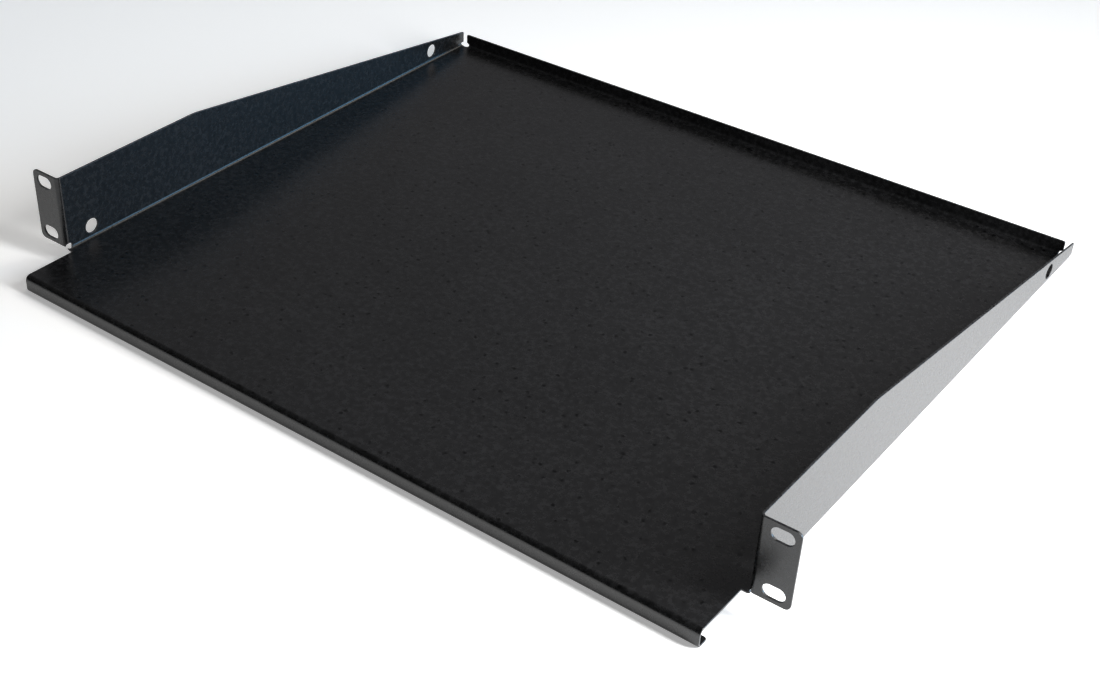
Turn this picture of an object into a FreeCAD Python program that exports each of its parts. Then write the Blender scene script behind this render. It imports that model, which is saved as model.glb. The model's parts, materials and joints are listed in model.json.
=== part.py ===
import FreeCAD, Part
import os

# Cantilever rack shelf, one rack unit high: a single sheet of steel, cut flat and folded.
# Millimetres. +X to the right, +Y into the rack, +Z up.
# The origin is the middle of the four rack slots, on the plane where the ears seat on the rails.

# Rack standard: the panel's outline, and the slots' places in it
rack_unit = 44.45
panel_height_clearance = 0.79
panel_width = 482.6
slot_end_distance = 8.75
hole_gap_between_units = 12.7

# Sheet and its folds, by inner radius
sheet = 1.2
bend_radius = 1.4
front_bend_radius = 2.0

# Overall form, with depths counted from the front face of the ears
ear_reach = 19.3
front_overhang = 32.7
rear_depth = 361.0
shoulder_depth = 105.0

# Side walls, with heights counted from the underside of the deck
rear_wall_height = 10.0
shoulder_radius = 40.0
wall_tip_radius = 1.0

# Lips across the front and the rear
front_lip_height = 10.55
return_flange_depth = 7.6
return_corner_radius = 1.5
rear_lip_height = 9.2
rear_lip_corner_radius = 1.0
lip_end_gap = 3.6

# Ears and holes
ear_corner_radius = 3.2
slot_length = 11.4
slot_width = 7.1
front_relief_radius = 1.8
rear_relief_radius = 2.1
side_hole_radius = 4.4
side_hole_depth = 19.7
side_hole_rear_distance = 35.8
side_hole_height = 8.2

# Sizes and places that follow from those above
slot_spacing_across = panel_width - 2 * slot_end_distance
slot_spacing_up = rack_unit - hole_gap_between_units
body_width = panel_width - 2 * ear_reach
side_hole_spacing = rear_depth - side_hole_depth - side_hole_rear_distance
ear_front = -sheet
lip_front = ear_front - front_overhang
rear = ear_front + rear_depth
shoulder = ear_front + shoulder_depth
front_hole = ear_front + side_hole_depth
bend_reach = sheet + bend_radius
ear_bend_end = ear_front + bend_reach
rear_bend_start = rear - bend_reach

panel_height = rack_unit - panel_height_clearance
panel_top = panel_height / 2
panel_bottom = -panel_height / 2
deck_underside = panel_bottom - bend_reach
deck_top = deck_underside + sheet
deck_middle = deck_underside + sheet / 2
lip_bottom = deck_top - front_lip_height
rear_lip_top = deck_underside + rear_lip_height
rear_wall_top = deck_underside + rear_wall_height

wall_outer = body_width / 2
wall_inner = wall_outer - sheet
wall_middle = wall_outer - sheet / 2
lip_end = wall_inner - lip_end_gap
ear_end = panel_width / 2

RIGHT_ANGLE = 90
RIGHTWARDS = FreeCAD.Vector(1, 0, 0)
REARWARDS = FreeCAD.Vector(0, 1, 0)
UPWARDS = FreeCAD.Vector(0, 0, 1)
TOUCHING = 1e-6


def turned(centre, axis, angle, point):
    return centre + FreeCAD.Rotation(axis, angle).multVec(point - centre)


def turned_arc(centre, axis, angle, point):
    """Arc that carries a point round a centre, and where the point ends up."""
    halfway = turned(centre, axis, angle / 2, point)
    end = turned(centre, axis, angle, point)
    return Part.Arc(point, halfway, end).toShape(), end


def folded_strip(start, heading, through, steps, across):
    """Sheet that follows runs and bends as seen on edge, drawn out along the vector across.

    The start lies on the near face, and through points from that face to the far one.
    A run is ("run", length). A bend is ("bend", angle, inner radius), where a plus
    angle folds towards the near face and a minus angle towards the far face.
    """
    near = start
    near_edges = []
    far_edges = []
    for step in steps:
        far = near + through * sheet
        if step[0] == "run":
            near_end = near + heading * step[1]
            near_edges.append(Part.makeLine(near, near_end))
            far_edges.append(Part.makeLine(far, far + heading * step[1]))
        else:
            angle, radius = step[1:]
            centre = near - through * radius if angle > 0 else far + through * radius
            axis = through.cross(heading)
            near_arc, near_end = turned_arc(centre, axis, angle, near)
            far_arc, far_end = turned_arc(centre, axis, angle, far)
            near_edges.append(near_arc)
            far_edges.append(far_arc)
            turn = FreeCAD.Rotation(axis, angle)
            heading = turn.multVec(heading)
            through = turn.multVec(through)
        near = near_end
    start_cut = Part.makeLine(near_edges[0].Vertexes[0].Point, far_edges[0].Vertexes[0].Point)
    end_cut = Part.makeLine(near, near + through * sheet)
    outline = Part.Wire(Part.sortEdges(near_edges + [end_cut, start_cut] + far_edges)[0])
    return Part.Face(outline).extrude(across)


def rounded(solid, radius, is_corner):
    """The solid with those edges rounded whose middle point passes the test."""
    return solid.makeFillet(radius, [edge for edge in solid.Edges if is_corner(edge.CenterOfMass)])


def meets(place, other):
    return abs(place - other) < TOUCHING


def centre_strip():
    """Return flange, front lip, deck and rear lip: one strip folded four times, between the walls."""
    front_reach = sheet + front_bend_radius
    start = FreeCAD.Vector(-lip_end, lip_front + return_flange_depth, lip_bottom + sheet)
    steps = [
        ("run", return_flange_depth - bend_reach),
        ("bend", RIGHT_ANGLE, bend_radius),
        ("run", front_lip_height - bend_reach - front_reach),
        ("bend", RIGHT_ANGLE, front_bend_radius),
        ("run", rear_bend_start - lip_front - front_reach),
        ("bend", -RIGHT_ANGLE, bend_radius),
        ("run", rear_lip_height - bend_reach),
    ]
    strip = folded_strip(start, -REARWARDS, -UPWARDS, steps, RIGHTWARDS * (2 * lip_end))
    flange_edge = lip_front + return_flange_depth
    strip = rounded(
        strip,
        return_corner_radius,
        lambda at: meets(abs(at.x), lip_end) and meets(at.y, flange_edge),
    )
    return rounded(
        strip,
        rear_lip_corner_radius,
        lambda at: meets(abs(at.x), lip_end) and meets(at.z, rear_lip_top),
    )


def right_wall():
    """Half the deck's width folded up into the right wall, then trimmed to the wall's side outline.

    The deck runs forward to the ears' seating plane and back to the rear lip's bend. The wall runs
    from the ear's bend to the rear, level at first and sloping down behind its shoulder.
    """
    start = FreeCAD.Vector(0, 0, deck_top)
    steps = [
        ("run", wall_inner - bend_radius),
        ("bend", RIGHT_ANGLE, bend_radius),
        ("run", panel_height),
    ]
    folded = folded_strip(start, RIGHTWARDS, -UPWARDS, steps, REARWARDS * rear)
    corners = [
        (0, deck_underside),
        (0, panel_bottom),
        (ear_bend_end, panel_bottom),
        (ear_bend_end, panel_top),
        (shoulder, panel_top),
        (rear, rear_wall_top),
        (rear, panel_bottom),
        (rear_bend_start, panel_bottom),
        (rear_bend_start, deck_underside),
    ]
    points = [FreeCAD.Vector(0, y, z) for y, z in corners]
    outline = Part.Face(Part.makePolygon(points + points[:1]))
    wall = folded.common(outline.extrude(RIGHTWARDS * wall_outer))
    wall = rounded(
        wall, shoulder_radius, lambda at: meets(at.y, shoulder) and meets(at.z, panel_top)
    )
    return rounded(
        wall, wall_tip_radius, lambda at: meets(at.y, rear) and meets(at.z, rear_wall_top)
    )


def obround(centre, length, width, through):
    """Cutter with round ends for a slot that runs from left to right."""
    end_radius = width / 2
    reach = RIGHTWARDS * (length / 2 - end_radius)
    side = UPWARDS * end_radius
    cap = RIGHTWARDS * (length / 2)
    edges = [
        Part.makeLine(centre - reach + side, centre + reach + side),
        Part.Arc(centre + reach + side, centre + cap, centre + reach - side).toShape(),
        Part.makeLine(centre + reach - side, centre - reach - side),
        Part.Arc(centre - reach - side, centre - cap, centre - reach + side).toShape(),
    ]
    return Part.Face(Part.Wire(edges)).extrude(through)


def right_ear():
    """The wall's front edge folded outwards, as high as a rack panel, with a slot near each end."""
    start = FreeCAD.Vector(wall_outer, ear_bend_end, panel_bottom)
    steps = [
        ("bend", RIGHT_ANGLE, bend_radius),
        ("run", ear_end - wall_outer - bend_radius),
    ]
    ear = folded_strip(start, -REARWARDS, -RIGHTWARDS, steps, UPWARDS * panel_height)
    ear = rounded(
        ear,
        ear_corner_radius,
        lambda at: meets(at.x, ear_end) and meets(abs(at.z), panel_top),
    )
    slots = [
        obround(
            FreeCAD.Vector(slot_spacing_across / 2, ear_front, height),
            slot_length,
            slot_width,
            REARWARDS * sheet,
        )
        for height in (slot_spacing_up / 2, -slot_spacing_up / 2)
    ]
    return ear.cut(slots)


def side_holes():
    """Two round cutters through the right wall, low down, near its front and its rear."""
    height = deck_underside + side_hole_height
    return [
        Part.makeCylinder(side_hole_radius, sheet, FreeCAD.Vector(wall_inner, depth, height), RIGHTWARDS)
        for depth in (front_hole, front_hole + side_hole_spacing)
    ]


def right_reliefs():
    """Round reliefs where bends meet. Punched flat and then folded, each leaves a ball-shaped gap.

    The front one takes the corner where ear, wall and deck would tear. The rear one lies halfway
    round the rear lip's bend, at the inner end of the gap between the lip and the wall.
    """
    front = Part.makeSphere(
        front_relief_radius, FreeCAD.Vector(wall_middle, ear_bend_end, panel_bottom)
    )
    bend_centre = FreeCAD.Vector(lip_end, rear_bend_start, deck_top + bend_radius)
    bend_start = FreeCAD.Vector(lip_end, rear_bend_start, deck_middle)
    behind = Part.makeSphere(
        rear_relief_radius, turned(bend_centre, RIGHTWARDS, RIGHT_ANGLE / 2, bend_start)
    )
    return [front, behind]


def both_sides(shape):
    return [shape, shape.mirror(FreeCAD.Vector(0, 0, 0), RIGHTWARDS)]


right_side = right_wall().fuse(right_ear()).cut(side_holes())
reliefs = [half for relief in right_reliefs() for half in both_sides(relief)]
shelf = centre_strip().fuse(both_sides(right_side)).cut(reliefs).removeSplitter()

os.makedirs("parts", exist_ok=True)
shelf.Solids[0].exportStep("parts/shelf.step")
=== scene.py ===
import json
import math

import bmesh
import bpy
from mathutils import Matrix, Vector
from mathutils.geometry import delaunay_2d_cdt


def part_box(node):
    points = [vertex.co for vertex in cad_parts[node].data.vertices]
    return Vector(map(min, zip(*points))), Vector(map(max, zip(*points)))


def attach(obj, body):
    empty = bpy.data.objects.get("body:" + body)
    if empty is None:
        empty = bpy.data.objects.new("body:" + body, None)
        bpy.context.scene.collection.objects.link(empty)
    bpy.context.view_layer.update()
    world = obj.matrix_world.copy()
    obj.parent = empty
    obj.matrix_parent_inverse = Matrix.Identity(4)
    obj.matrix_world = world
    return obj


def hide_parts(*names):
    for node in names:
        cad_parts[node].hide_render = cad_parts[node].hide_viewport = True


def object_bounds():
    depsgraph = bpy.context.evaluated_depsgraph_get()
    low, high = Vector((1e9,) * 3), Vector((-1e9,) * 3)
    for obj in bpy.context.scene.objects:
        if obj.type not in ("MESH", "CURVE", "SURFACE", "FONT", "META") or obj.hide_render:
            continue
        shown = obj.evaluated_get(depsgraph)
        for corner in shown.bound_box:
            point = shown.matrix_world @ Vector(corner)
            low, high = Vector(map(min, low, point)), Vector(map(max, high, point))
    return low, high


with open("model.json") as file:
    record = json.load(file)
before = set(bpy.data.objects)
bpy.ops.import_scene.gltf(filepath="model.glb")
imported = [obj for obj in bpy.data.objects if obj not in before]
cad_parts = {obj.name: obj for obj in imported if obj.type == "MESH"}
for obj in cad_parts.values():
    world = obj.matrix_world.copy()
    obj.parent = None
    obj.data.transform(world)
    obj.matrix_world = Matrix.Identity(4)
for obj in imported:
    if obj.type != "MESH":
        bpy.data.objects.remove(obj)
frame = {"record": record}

cad_low, cad_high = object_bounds()


# ---------------------------------------------------------------------------
# Camera
# A long lens looks down on the shelf from the front right, rolled by about a degree. The lens is
# shifted a little to the right and up, so that the shelf fills the frame.
# ---------------------------------------------------------------------------
camera_place = Vector((0.4446, -0.4947, 0.4714))
camera_turn = math.radians(37.53)
camera_dip = math.radians(35.47)
camera_roll = math.radians(1.225)

look_along = Vector((
    -math.sin(camera_turn) * math.cos(camera_dip),
    math.cos(camera_turn) * math.cos(camera_dip),
    -math.sin(camera_dip),
))
level_right = look_along.cross(Vector((0, 0, 1))).normalized()
level_up = level_right.cross(look_along)
camera_right = math.cos(camera_roll) * level_right + math.sin(camera_roll) * level_up
camera_up = math.cos(camera_roll) * level_up - math.sin(camera_roll) * level_right

camera_data = bpy.data.cameras.new("camera")
camera_data.sensor_width = 36
camera_data.lens = 54.33
camera_data.shift_x = 0.0754
camera_data.shift_y = 0.0232
camera = bpy.data.objects.new("camera", camera_data)
camera_axes = Matrix((camera_right, camera_up, -look_along)).transposed()
camera.matrix_world = Matrix.Translation(camera_place) @ camera_axes.to_4x4()
bpy.context.scene.collection.objects.link(camera)
bpy.context.scene.camera = camera
bpy.context.scene.view_settings.view_transform = "Standard"


# ---------------------------------------------------------------------------
# Shelf blank
# The shelf starts as one flat sheet of 1.2 mm steel, with its slots, holes and round corner
# reliefs punched out. This lays out the blank's middle layer, split along the lines of its bends.
# ---------------------------------------------------------------------------
mm = 0.001
sheet = 1.2 * mm
bend_radius = 1.4 * mm
front_bend_radius = 2.0 * mm
ear_reach = 19.3 * mm
ear_corner = 3.2 * mm
shoulder_place = 103.8 * mm
shoulder_radius = 40 * mm
rear_wall_height = 10 * mm
wall_tip_radius = 1.0 * mm
rear_lip_height = 9.2 * mm
rear_lip_corner = 1.0 * mm
lip_end_gap = 3.6 * mm
return_depth = 7.6 * mm
return_corner = 1.5 * mm
front_relief = 1.8 * mm
rear_relief = 2.1 * mm
strips_per_bend = 8
arc_step = math.radians(7.5)
quarter = math.pi / 2
whole = 2 * math.pi

# Where the folded sheet lies, from the frame
shelf_low, shelf_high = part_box("shelf")
panel_height = 2 * shelf_high.z
reach = sheet + bend_radius
front_reach = sheet + front_bend_radius
wall_outer = shelf_high.x - ear_reach
strip_end = wall_outer - sheet - lip_end_gap
deck_underside = -shelf_high.z - reach
deck_middle = deck_underside + sheet / 2
front_lip_height = deck_underside + sheet - shelf_low.z

# The same edges and bends laid flat, each bend as long as its middle layer
bend_length = quarter * (bend_radius + sheet / 2)
front_bend_length = quarter * (front_bend_radius + sheet / 2)
wall_line = wall_outer - reach
wall_foot = wall_line + bend_length
wall_top = wall_foot + panel_height
wall_rear_top = wall_foot + rear_wall_height - reach
ear_line = bend_radius
ear_foot = ear_line - bend_length
ear_tip = ear_foot - (ear_reach - bend_radius)
rear_line = shelf_high.y - reach
rear_lip_foot = rear_line + bend_length
rear_lip_tip = rear_lip_foot + rear_lip_height - reach
front_line = shelf_low.y + front_reach
lip_foot = front_line - front_bend_length
return_line = lip_foot - (front_lip_height - reach - front_reach)
return_foot = return_line - bend_length
return_tip = return_foot - (return_depth - reach)


def arc(centre, radius, start, end):
    """Points along an arc from one angle to another, both ends included."""
    steps = max(2, math.ceil(abs(end - start) / arc_step))
    angles = [start + (end - start) * step / steps for step in range(steps + 1)]
    return [centre + radius * Vector((math.cos(a), math.sin(a))) for a in angles]


def rounded(before, at, after, radius):
    """Points round a corner, from where its arc leaves one side to where it meets the other."""
    inward = (before - at).normalized()
    outward = (after - at).normalized()
    half_angle = inward.angle(outward) / 2
    centre = at + (inward + outward).normalized() * radius / math.sin(half_angle)
    first = at + inward * radius / math.tan(half_angle) - centre
    turn = (math.pi - 2 * half_angle) * (1 if inward.cross(outward) < 0 else -1)
    start = math.atan2(first.y, first.x)
    return arc(centre, radius, start, start + turn)


# The right half of the outline, from the middle of the return flange round to the rear lip's
return_end = Vector((strip_end, return_tip))
notch = Vector((strip_end, 0))
ear_inner = Vector((wall_foot, ear_tip))
ear_outer = Vector((wall_top, ear_tip))
shoulder = Vector((wall_top, shoulder_place))
wall_tip = Vector((wall_rear_top, shelf_high.y))
wall_heel = Vector((wall_foot, shelf_high.y))
rear_lip_end = Vector((strip_end, rear_lip_tip))
front_relief_centre = Vector((wall_foot, ear_line))
rear_relief_centre = Vector((strip_end, rear_line + bend_length / 2))
front_relief_start = math.pi + math.asin(ear_line / front_relief)
rear_relief_start = -math.asin(bend_length / 2 / rear_relief)

right_half = (
    rounded(Vector((0, return_tip)), return_end, notch, return_corner)
    + [notch]
    + arc(front_relief_centre, front_relief, front_relief_start, -quarter)
    + rounded(front_relief_centre, ear_inner, ear_outer, ear_corner)
    + rounded(ear_inner, ear_outer, shoulder, ear_corner)
    + rounded(ear_outer, shoulder, wall_tip, shoulder_radius)
    + rounded(shoulder, wall_tip, wall_heel, wall_tip_radius)
    + [wall_heel, Vector((wall_foot, rear_line))]
    + arc(rear_relief_centre, rear_relief, rear_relief_start, -3 * quarter)
    + rounded(rear_relief_centre, rear_lip_end, Vector((0, rear_lip_tip)), rear_lip_corner)
)
left_half = [Vector((-point.x, point.y)) for point in reversed(right_half)]

# Slots in the ears and holes in the walls, at the places that the record gives, laid flat
mounts = {mount["name"]: mount for mount in frame["record"]["mounts"]}
slots = mounts["rack_slots"]["dims"]
slot_radius = slots["hole_r_mm"] * mm
slot_reach = Vector((0, slots["slot_length_mm"] * mm / 2 - slot_radius))
slot_place = ear_foot - (slots["spacing_x_mm"] * mm / 2 - wall_outer - bend_radius)
side_holes = mounts["side_holes_right"]
hole_radius = side_holes["dims"]["hole_r_mm"] * mm
hole_height = wall_foot + side_holes["pos_m"][2] + shelf_high.z

holes = []
for side in (1, -1):
    for step in (-0.5, 0.5):
        across = wall_foot + panel_height / 2 + step * slots["spacing_y_mm"] * mm
        centre = Vector((side * across, slot_place))
        holes.append(
            arc(centre + slot_reach, slot_radius, 0, math.pi)
            + arc(centre - slot_reach, slot_radius, math.pi, whole)
        )
        depth = side_holes["pos_m"][1] + step * side_holes["dims"]["spacing_x_mm"] * mm
        holes.append(arc(Vector((side * hole_height, depth)), hole_radius, 0, whole)[:-1])

# The two ends of every line across a bend, a few lines for each
bend_lines = []
for step in range(strips_per_bend + 1):
    part = step / strips_per_bend
    for line, length in (
        (return_line, -bend_length),
        (front_line, -front_bend_length),
        (rear_line, bend_length),
    ):
        place = line + part * length
        bend_lines.append((Vector((-strip_end, place)), Vector((strip_end, place))))
    for side in (1, -1):
        place = side * (wall_line + part * bend_length)
        bend_lines.append((Vector((place, 0)), Vector((place, rear_line))))
        place = ear_line - part * bend_length
        bend_lines.append((Vector((side * wall_foot, place)), Vector((side * wall_top, place))))

# Fill the outline, leave its holes open, and split it along the lines. The outline is the first
# loop, so what lies in that loop alone is sheet, and what lies in another one too is a hole.
WITH_HOLES = 4
in_outline_alone = [0]
merged_within = 0.001 * mm
points = []
loops = []
for loop in [right_half + left_half] + holes:
    loops.append(list(range(len(points), len(points) + len(loop))))
    points += loop
cuts = []
for ends in bend_lines:
    cuts.append((len(points), len(points) + 1))
    points += ends
flat_points, _, flat_faces, _, _, within = delaunay_2d_cdt(
    points, cuts, loops, WITH_HOLES, merged_within
)

blank = bmesh.new()
corners = [blank.verts.new((*point, 0)) for point in flat_points]
for face, loops_round_it in zip(flat_faces, within):
    if loops_round_it == in_outline_alone:
        blank.faces.new([corners[index] for index in face])
bmesh.ops.delete(blank, geom=[v for v in blank.verts if not v.link_faces], context="VERTS")
blank_mesh = bpy.data.meshes.new("shelf_sheet")
blank.to_mesh(blank_mesh)
blank.free()
shelf = bpy.data.objects.new("shelf_sheet", blank_mesh)
bpy.context.scene.collection.objects.link(shelf)


# ---------------------------------------------------------------------------
# Shelf folds
# A press brake folds the punched blank: return flange, front lip and rear lip, then ears and
# walls. One node group bends the sheet along a line; each point knows its place in the blank.
# ---------------------------------------------------------------------------
def add_node(tree, kind, feeds=(), **settings):
    """Adds a node with these settings, and feeds its inputs from sockets or plain values."""
    node = tree.nodes.new(kind)
    for name, value in settings.items():
        setattr(node, name, value)
    for name, value in dict(feeds).items():
        if isinstance(value, bpy.types.NodeSocket):
            tree.links.new(value, node.inputs[name])
        else:
            node.inputs[name].default_value = value
    return node


def add_group(kind, name, inputs, outputs):
    """A node group with these named sockets, and the sockets of its input and output nodes."""
    tree = bpy.data.node_groups.new(name, kind)
    for direction, sockets in (("INPUT", inputs), ("OUTPUT", outputs)):
        for label, socket in sockets.items():
            tree.interface.new_socket(label, in_out=direction, socket_type="NodeSocket" + socket)
    return tree, tree.nodes.new("NodeGroupInput").outputs, tree.nodes.new("NodeGroupOutput").inputs


def maths(tree, operation, first, second=0.0):
    return add_node(tree, "ShaderNodeMath", {0: first, 1: second}, operation=operation).outputs[0]


def vector_maths(tree, operation, first, second=(0, 0, 0)):
    feeds = {0: first, 1: second}
    return add_node(tree, "ShaderNodeVectorMath", feeds, operation=operation).outputs[0]


def lengthened(tree, direction, length):
    """The direction, or the colour, multiplied by the length."""
    feeds = {0: direction, "Scale": length}
    return add_node(tree, "ShaderNodeVectorMath", feeds, operation="SCALE").outputs[0]


def blank_place(tree):
    """Where each point lay in the flat blank."""
    feeds = {"Name": "blank_place"}
    node = add_node(tree, "GeometryNodeInputNamedAttribute", feeds, data_type="FLOAT_VECTOR")
    return node.outputs["Attribute"]


fold, given, result = add_group(
    "GeometryNodeTree",
    "fold",
    {
        "Geometry": "Geometry",
        "Selection": "Bool",
        "Outwards": "Vector",
        "Line": "Float",
        "Side": "Float",
        "Inner Radius": "Float",
        "Sheet": "Float",
    },
    {"Geometry": "Geometry"},
)
feeds = {0: blank_place(fold), 1: given["Outwards"]}
along = add_node(fold, "ShaderNodeVectorMath", feeds, operation="DOT_PRODUCT").outputs["Value"]
past_line = maths(fold, "SUBTRACT", along, given["Line"])
half_sheet = maths(fold, "MULTIPLY", given["Sheet"], 0.5)
middle_radius = maths(fold, "ADD", given["Inner Radius"], half_sheet)
length = maths(fold, "MULTIPLY", middle_radius, quarter)
travel = maths(fold, "MINIMUM", maths(fold, "MAXIMUM", past_line, 0.0), length)
place = add_node(fold, "GeometryNodeInputPosition").outputs["Position"]
at_line = vector_maths(fold, "SUBTRACT", place, lengthened(fold, given["Outwards"], travel))
side = add_node(fold, "ShaderNodeCombineXYZ", {"Z": given["Side"]}).outputs["Vector"]
line_place = lengthened(fold, given["Outwards"], given["Line"])
feeds = {
    "Vector": at_line,
    "Center": vector_maths(fold, "ADD", line_place, lengthened(fold, side, middle_radius)),
    "Axis": vector_maths(fold, "CROSS_PRODUCT", given["Outwards"], side),
    "Angle": maths(fold, "DIVIDE", travel, middle_radius),
}
bent = add_node(fold, "ShaderNodeVectorRotate", feeds, rotation_type="AXIS_ANGLE").outputs["Vector"]
feeds = {"Geometry": given["Geometry"], "Selection": given["Selection"], "Position": bent}
moved = add_node(fold, "GeometryNodeSetPosition", feeds).outputs["Geometry"]
fold.links.new(moved, result["Geometry"])

# The folds in their order, each line measured outwards from the origin, the way its flange points
press_brake, given, result = add_group(
    "GeometryNodeTree",
    "press_brake",
    {
        "Geometry": "Geometry",
        "Sheet": "Float",
        "Bend Radius": "Float",
        "Front Bend Radius": "Float",
        "Return Line": "Float",
        "Front Line": "Float",
        "Rear Line": "Float",
        "Ear Line": "Float",
        "Wall Line": "Float",
        "Wall Foot": "Float",
        "Deck Height": "Float",
        "Face Coat": "Material",
        "Edge Coat": "Material",
    },
    {"Geometry": "Geometry"},
)
FORWARDS, REARWARDS, RIGHTWARDS, LEFTWARDS = (0, -1, 0), (0, 1, 0), (1, 0, 0), (-1, 0, 0)
UP, DOWN = 1, -1
flat_place = add_node(press_brake, "GeometryNodeInputPosition").outputs["Position"]
feeds = {"Geometry": given["Geometry"], "Name": "blank_place", "Value": flat_place}
piece = add_node(press_brake, "GeometryNodeStoreNamedAttribute", feeds, data_type="FLOAT_VECTOR")
across = add_node(press_brake, "ShaderNodeSeparateXYZ", {"Vector": blank_place(press_brake)})
feeds = {
    "A": maths(press_brake, "ABSOLUTE", across.outputs["X"]),
    "B": maths(press_brake, "SUBTRACT", given["Wall Foot"], merged_within),
}
on_wall = add_node(press_brake, "FunctionNodeCompare", feeds, operation="GREATER_THAN").outputs[0]
on_strip = add_node(press_brake, "FunctionNodeCompare", feeds, operation="LESS_EQUAL").outputs[0]
for outwards, line, side, radius, selection in (
    (FORWARDS, "Return Line", DOWN, "Bend Radius", on_strip),
    (FORWARDS, "Front Line", DOWN, "Front Bend Radius", on_strip),
    (REARWARDS, "Rear Line", UP, "Bend Radius", on_strip),
    (FORWARDS, "Ear Line", DOWN, "Bend Radius", on_wall),
    (RIGHTWARDS, "Wall Line", UP, "Bend Radius", True),
    (LEFTWARDS, "Wall Line", UP, "Bend Radius", True),
):
    feeds = {
        "Geometry": piece.outputs["Geometry"],
        "Selection": selection,
        "Outwards": outwards,
        "Line": given[line],
        "Side": side,
        "Inner Radius": given[radius],
        "Sheet": given["Sheet"],
    }
    piece = add_node(press_brake, "GeometryNodeGroup", feeds, node_tree=fold)
height = add_node(press_brake, "ShaderNodeCombineXYZ", {"Z": given["Deck Height"]}).outputs["Vector"]
feeds = {"Geometry": piece.outputs["Geometry"], "Offset": height}
piece = add_node(press_brake, "GeometryNodeSetPosition", feeds)
feeds = {"Geometry": piece.outputs["Geometry"], "Name": "blank_place"}
piece = add_node(press_brake, "GeometryNodeRemoveAttribute", feeds)
piece = add_node(press_brake, "GeometryNodeSetShadeSmooth", {"Geometry": piece.outputs["Geometry"]})
piece = add_node(
    press_brake, "GeometryNodeRealizeInstances", {"Geometry": piece.outputs["Geometry"]}
)
is_cut = add_node(press_brake, "GeometryNodeInputMaterialIndex").outputs[0]
is_face = maths(press_brake, "SUBTRACT", 1, is_cut)
for coat, selection in (("Face Coat", is_face), ("Edge Coat", is_cut)):
    feeds = {
        "Geometry": piece.outputs["Geometry"],
        "Selection": selection,
        "Material": given[coat],
    }
    piece = add_node(press_brake, "GeometryNodeSetMaterial", feeds)
press_brake.links.new(piece.outputs["Geometry"], result["Geometry"])


# ---------------------------------------------------------------------------
# Shelf powder coat
# Black polyester powder, sprayed on after folding and baked. It flows into a faint orange peel
# with a fine grain, speckled where the powder settled. The cut edges are paler, partly from a
# thinner coat there and partly as a painted highlight.
# ---------------------------------------------------------------------------
edge_rounding = 0.22 * mm
edge_segments = 3
square_edge = math.radians(60)
CUT_EDGES = 1


def noise(tree, place, size, detail=1, roughness=0.5):
    """Noise about as coarse as this size, in metres."""
    scale = maths(tree, "DIVIDE", 1, size)
    feeds = {"Vector": place, "Scale": scale, "Detail": detail, "Roughness": roughness}
    return add_node(tree, "ShaderNodeTexNoise", feeds).outputs[0]


def stretched(tree, value, low, high, to_low=0.0, to_high=1.0):
    """The value between low and high, spread over a range of its own and held at its ends."""
    feeds = {"Value": value, "From Min": low, "From Max": high, "To Min": to_low, "To Max": to_high}
    return add_node(tree, "ShaderNodeMapRange", feeds).outputs[0]


powder_texture, given, result = add_group(
    "ShaderNodeTree",
    "powder_texture",
    {
        "Place": "Vector",
        "Peel Size": "Float",
        "Peel Depth": "Float",
        "Grain Size": "Float",
        "Grain Depth": "Float",
        "Speckle Size": "Float",
        "Cloud Size": "Float",
    },
    {"Height": "Float", "Speckle": "Float", "Cloud": "Float"},
)
peel = noise(powder_texture, given["Place"], given["Peel Size"])
grain = noise(powder_texture, given["Place"], given["Grain Size"], detail=2, roughness=0.6)
peel_height = maths(powder_texture, "MULTIPLY", peel, given["Peel Depth"])
grain_height = maths(powder_texture, "MULTIPLY", grain, given["Grain Depth"])
height = maths(powder_texture, "ADD", peel_height, grain_height)
speckle = noise(powder_texture, given["Place"], given["Speckle Size"], detail=3, roughness=0.65)
speckle = stretched(powder_texture, speckle, low=0.32, high=0.68)
cloud = noise(powder_texture, given["Place"], given["Cloud Size"], detail=3, roughness=0.55)
cloud = stretched(powder_texture, cloud, low=0.3, high=0.7)
powder_texture.links.new(height, result["Height"])
powder_texture.links.new(speckle, result["Speckle"])
powder_texture.links.new(cloud, result["Cloud"])

# Pinholes that dust left in the wet coat wherever it faced up: small ragged pits, flat in the middle
# Their darkness is painted shade, standing in for the light that the pits trap
speck_raggedness = 0.2
speck_flat_share = 0.3
too_steep = 0.6
level_enough = 0.95
pinholes_and_painted_shade, given, result = add_group(
    "ShaderNodeTree",
    "pinholes_and_painted_shade",
    {"Place": "Vector", "Facing": "Vector", "Spacing": "Float", "Radius": "Float"},
    {"Mask": "Float"},
)
feeds = {"Vector": given["Place"], "Scale": maths(pinholes_and_painted_shade, "DIVIDE", 1, given["Spacing"])}
from_speck = add_node(pinholes_and_painted_shade, "ShaderNodeTexVoronoi", feeds).outputs["Distance"]
wander = noise(pinholes_and_painted_shade, given["Place"], given["Radius"])
wander = stretched(pinholes_and_painted_shade, wander, 0, 1, to_low=-speck_raggedness, to_high=speck_raggedness)
from_speck = maths(pinholes_and_painted_shade, "ADD", from_speck, wander)
rim = maths(pinholes_and_painted_shade, "DIVIDE", given["Radius"], given["Spacing"])
flat_bottom = maths(pinholes_and_painted_shade, "MULTIPLY", rim, speck_flat_share)
pit = stretched(pinholes_and_painted_shade, from_speck, rim, flat_bottom)
upwards = add_node(pinholes_and_painted_shade, "ShaderNodeSeparateXYZ", {"Vector": given["Facing"]}).outputs["Z"]
facing_up = stretched(pinholes_and_painted_shade, upwards, too_steep, level_enough)
pinholes_and_painted_shade.links.new(maths(pinholes_and_painted_shade, "MULTIPLY", pit, facing_up), result["Mask"])

speckle_share = 0.8
speck_spacing = 7.0 * mm
speck_radius = 1.3 * mm
speck_depth = 0.05 * mm
speck_smoothing = 0.12
# How strongly a pit's painted shade cuts its reflection, through Metallic
pit_painted_shade = 0.45
faint_blue = (0.99, 1.0, 1.06)


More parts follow.
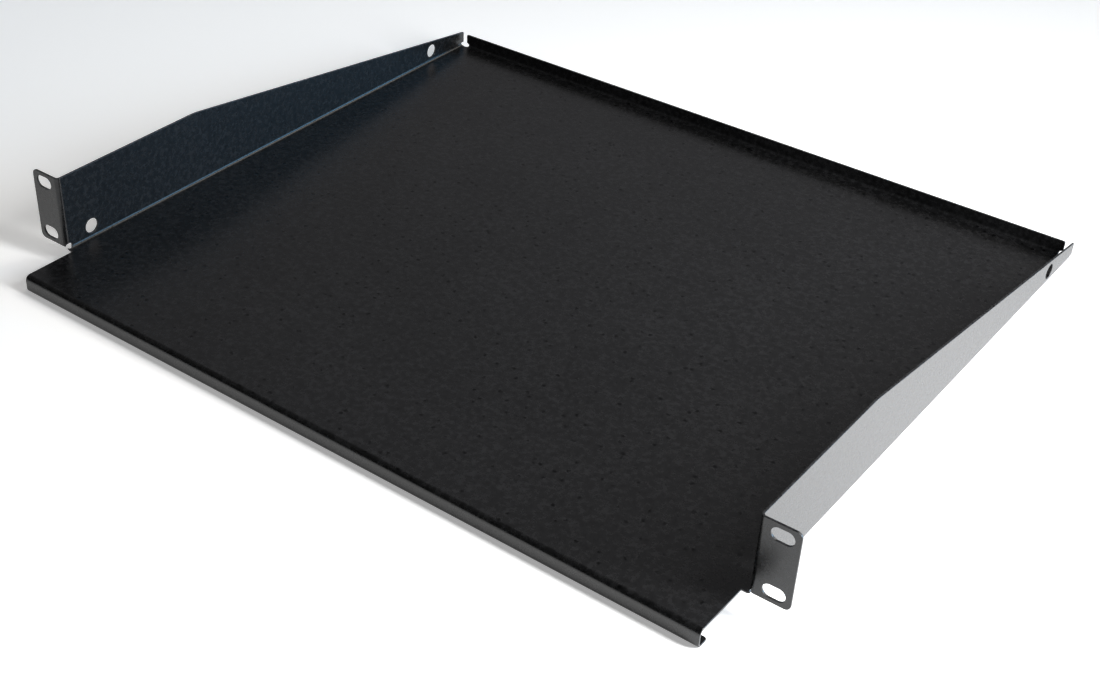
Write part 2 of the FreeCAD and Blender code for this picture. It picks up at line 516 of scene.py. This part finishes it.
def powder_coat(name, shades, roughnesses, **texture_sizes):
    """A coat whose mottle runs through these shades and from the first roughness to the second."""
    material = bpy.data.materials.new(name)
    material.use_nodes = True
    tree = material.node_tree
    shader = tree.nodes["Principled BSDF"]
    place = tree.nodes.new("ShaderNodeTexCoord").outputs["Object"]
    feeds = {"Place": place}
    for label, size in texture_sizes.items():
        feeds[label.replace("_", " ").title()] = size
    texture = add_node(tree, "ShaderNodeGroup", feeds, node_tree=powder_texture)
    speckled = maths(tree, "MULTIPLY", texture.outputs["Speckle"], speckle_share)
    clouded = maths(tree, "MULTIPLY", texture.outputs["Cloud"], 1 - speckle_share)
    mottle = maths(tree, "ADD", speckled, clouded)
    ramp = add_node(tree, "ShaderNodeValToRGB", {"Fac": mottle})
    for place_on_ramp, _ in shades[1:-1]:
        ramp.color_ramp.elements.new(place_on_ramp)
    for stop, (place_on_ramp, shade) in zip(ramp.color_ramp.elements, shades):
        stop.position = place_on_ramp
        stop.color = (*(shade * part for part in faint_blue), 1)
    facing = tree.nodes.new("ShaderNodeNewGeometry").outputs["True Normal"]
    feeds = {"Place": place, "Facing": facing, "Spacing": speck_spacing, "Radius": speck_radius}
    speck = add_node(tree, "ShaderNodeGroup", feeds, node_tree=pinholes_and_painted_shade).outputs["Mask"]
    # Painted shade for the light a pit swallows: its colour fades to black, and as a metal of that
    # colour it mirrors less
    unspecked = maths(tree, "SUBTRACT", 1, speck)
    tree.links.new(lengthened(tree, ramp.outputs["Color"], unspecked), shader.inputs["Base Color"])
    roughness = stretched(tree, mottle, 0, 1, *roughnesses)
    smoother = maths(tree, "MULTIPLY", speck, speck_smoothing)
    tree.links.new(maths(tree, "SUBTRACT", roughness, smoother), shader.inputs["Roughness"])
    tree.links.new(maths(tree, "MULTIPLY", speck, pit_painted_shade), shader.inputs["Metallic"])
    pit_depth = maths(tree, "MULTIPLY", speck, speck_depth)
    height = maths(tree, "SUBTRACT", texture.outputs["Height"], pit_depth)
    bump = add_node(tree, "ShaderNodeBump", {"Height": height, "Distance": 1})
    tree.links.new(bump.outputs["Normal"], shader.inputs["Normal"])
    return material


face_coat = powder_coat(
    "powder_coat_face",
    shades=((0.0, 0.0018), (0.35, 0.0044), (0.65, 0.0074), (1.0, 0.0132)),
    roughnesses=(0.25, 0.29),
    peel_size=1.5 * mm,
    peel_depth=0.012 * mm,
    grain_size=0.35 * mm,
    grain_depth=0.010 * mm,
    speckle_size=3.2 * mm,
    cloud_size=70 * mm,
)
# The cut edges' paler shades are partly a thinner coat and partly a painted highlight
edge_coat_and_highlight = powder_coat(
    "powder_coat_cut_edge",
    shades=((0.0, 0.004), (0.5, 0.012), (1.0, 0.032)),
    roughnesses=(0.24, 0.34),
    peel_size=1.2 * mm,
    peel_depth=0.010 * mm,
    grain_size=0.35 * mm,
    grain_depth=0.010 * mm,
    speckle_size=2.4 * mm,
    cloud_size=20 * mm,
)

# The blank gets its thickness and softly rounded cut edges, then goes through the brake
blank_mesh.materials.append(face_coat)
blank_mesh.materials.append(edge_coat_and_highlight)
thickness = shelf.modifiers.new("thickness", "SOLIDIFY")
thickness.thickness = sheet
thickness.offset = 0
thickness.material_offset_rim = CUT_EDGES
rounding = shelf.modifiers.new("rounding", "BEVEL")
rounding.width = edge_rounding
rounding.segments = edge_segments
rounding.limit_method = "ANGLE"
rounding.angle_limit = square_edge
rounding.use_clamp_overlap = False
rounding.material = CUT_EDGES
folding = shelf.modifiers.new("folding", "NODES")
folding.node_group = press_brake
sizes = {
    "Sheet": sheet,
    "Bend Radius": bend_radius,
    "Front Bend Radius": front_bend_radius,
    "Return Line": -return_line,
    "Front Line": -front_line,
    "Rear Line": rear_line,
    "Ear Line": -ear_line,
    "Wall Line": wall_line,
    "Wall Foot": wall_foot,
    "Deck Height": deck_middle,
    "Face Coat": face_coat,
    "Edge Coat": edge_coat_and_highlight,
}
for socket in press_brake.interface.items_tree:
    if socket.in_out == "INPUT" and socket.name in sizes:
        folding[socket.identifier] = sizes[socket.name]
flat_faces_first = shelf.modifiers.new("flat_faces_first", "WEIGHTED_NORMAL")
flat_faces_first.mode = "FACE_AREA"
flat_faces_first.weight = 100

depsgraph = bpy.context.evaluated_depsgraph_get()
shelf_mesh = bpy.data.meshes.new_from_object(
    shelf.evaluated_get(depsgraph), preserve_all_data_layers=True, depsgraph=depsgraph
)
shelf_mesh.name = "shelf_sheet"
shelf.modifiers.clear()
shelf.data = shelf_mesh
bpy.data.meshes.remove(blank_mesh)
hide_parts("shelf")
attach(shelf, "root")


# ---------------------------------------------------------------------------
# Floor
# A plain white shooting table at the height of the shelf's lowest edge, painted matt. It glows a
# little, as a table lit from beneath does, and runs on past the view on every side.
# ---------------------------------------------------------------------------
floor_half = 30
floor_colour = (0.92, 0.92, 0.92, 1)
floor_roughness = 0.7
glow_colour = (1, 1, 1, 1)
glow_strength = 0.35
floor_mesh = bpy.data.meshes.new("floor")
floor_corners = ((-1, -1), (1, -1), (1, 1), (-1, 1))
floor_mesh.from_pydata(
    [(x * floor_half, y * floor_half, cad_low[2]) for x, y in floor_corners],
    [],
    [(0, 1, 2, 3)],
)
floor = bpy.data.objects.new("floor", floor_mesh)
bpy.context.scene.collection.objects.link(floor)
paint = bpy.data.materials.new("floor_paint")
paint.use_nodes = True
paint_shader = paint.node_tree.nodes["Principled BSDF"]
paint_shader.inputs["Base Color"].default_value = floor_colour
paint_shader.inputs["Roughness"].default_value = floor_roughness
paint_shader.inputs["Emission Color"].default_value = glow_colour
paint_shader.inputs["Emission Strength"].default_value = glow_strength
floor_mesh.materials.append(paint)


# ---------------------------------------------------------------------------
# Light
# A dim studio with a tall narrow strip light that leans over the floor on the shelf's right, two
# small white panels above the rear, a cool one low behind and to the right, and faint ones all
# round. The panels are part of the sky, and each fades out softly.
# ---------------------------------------------------------------------------
studio = bpy.data.worlds.new("studio")
bpy.context.scene.world = studio
studio.use_nodes = True
sky = studio.node_tree
towards = sky.nodes.new("ShaderNodeTexCoord").outputs["Generated"]


def soft_panel(turn, height, half_width, colour):
    """Light round one direction, given in degrees round from the right and up from the floor."""
    turn = math.radians(turn)
    height = math.radians(height)
    level = math.cos(height)
    middle = (level * math.cos(turn), level * math.sin(turn), math.sin(height))
    feeds = {0: towards, 1: middle}
    near = add_node(sky, "ShaderNodeVectorMath", feeds, operation="DOT_PRODUCT").outputs["Value"]
    feeds = {"Value": near, "From Min": math.cos(math.radians(half_width))}
    fade = add_node(sky, "ShaderNodeMapRange", feeds, interpolation_type="SMOOTHSTEP").outputs[0]
    return lengthened(sky, colour, fade)


light = soft_panel(turn=42, height=3, half_width=25, colour=(2.70, 5.90, 9.30))
for panel in (
    soft_panel(turn=80, height=52, half_width=16, colour=(2.55, 2.48, 2.32)),
    soft_panel(turn=66, height=48, half_width=12, colour=(4.70, 4.50, 4.15)),
    soft_panel(turn=95, height=8, half_width=45, colour=(0.09, 0.09, 0.095)),
    soft_panel(turn=135, height=22, half_width=45, colour=(0.106, 0.104, 0.110)),
    soft_panel(turn=120, height=40, half_width=30, colour=(0.122, 0.122, 0.126)),
    soft_panel(turn=180, height=35, half_width=45, colour=(0.08, 0.08, 0.08)),
    soft_panel(turn=270, height=35, half_width=60, colour=(0.03, 0.03, 0.03)),
):
    light = vector_maths(sky, "ADD", light, panel)
sky.links.new(light, sky.nodes["Background"].inputs["Color"])

strip_place = Vector((0.608, 0.15, 0.377))
strip_facing = Vector((-0.45, 0, -0.234))
strip_width = 0.15
strip_height = 0.6
strip_watts = 10.6
strip_data = bpy.data.lights.new("strip", "AREA")
strip_data.shape = "RECTANGLE"
strip_data.size = strip_width
strip_data.size_y = strip_height
strip_data.energy = strip_watts
strip = bpy.data.objects.new("strip", strip_data)
strip.location = strip_place
strip.rotation_euler = strip_facing.to_track_quat("-Z", "Y").to_euler()
strip.visible_camera = False
bpy.context.scene.collection.objects.link(strip)
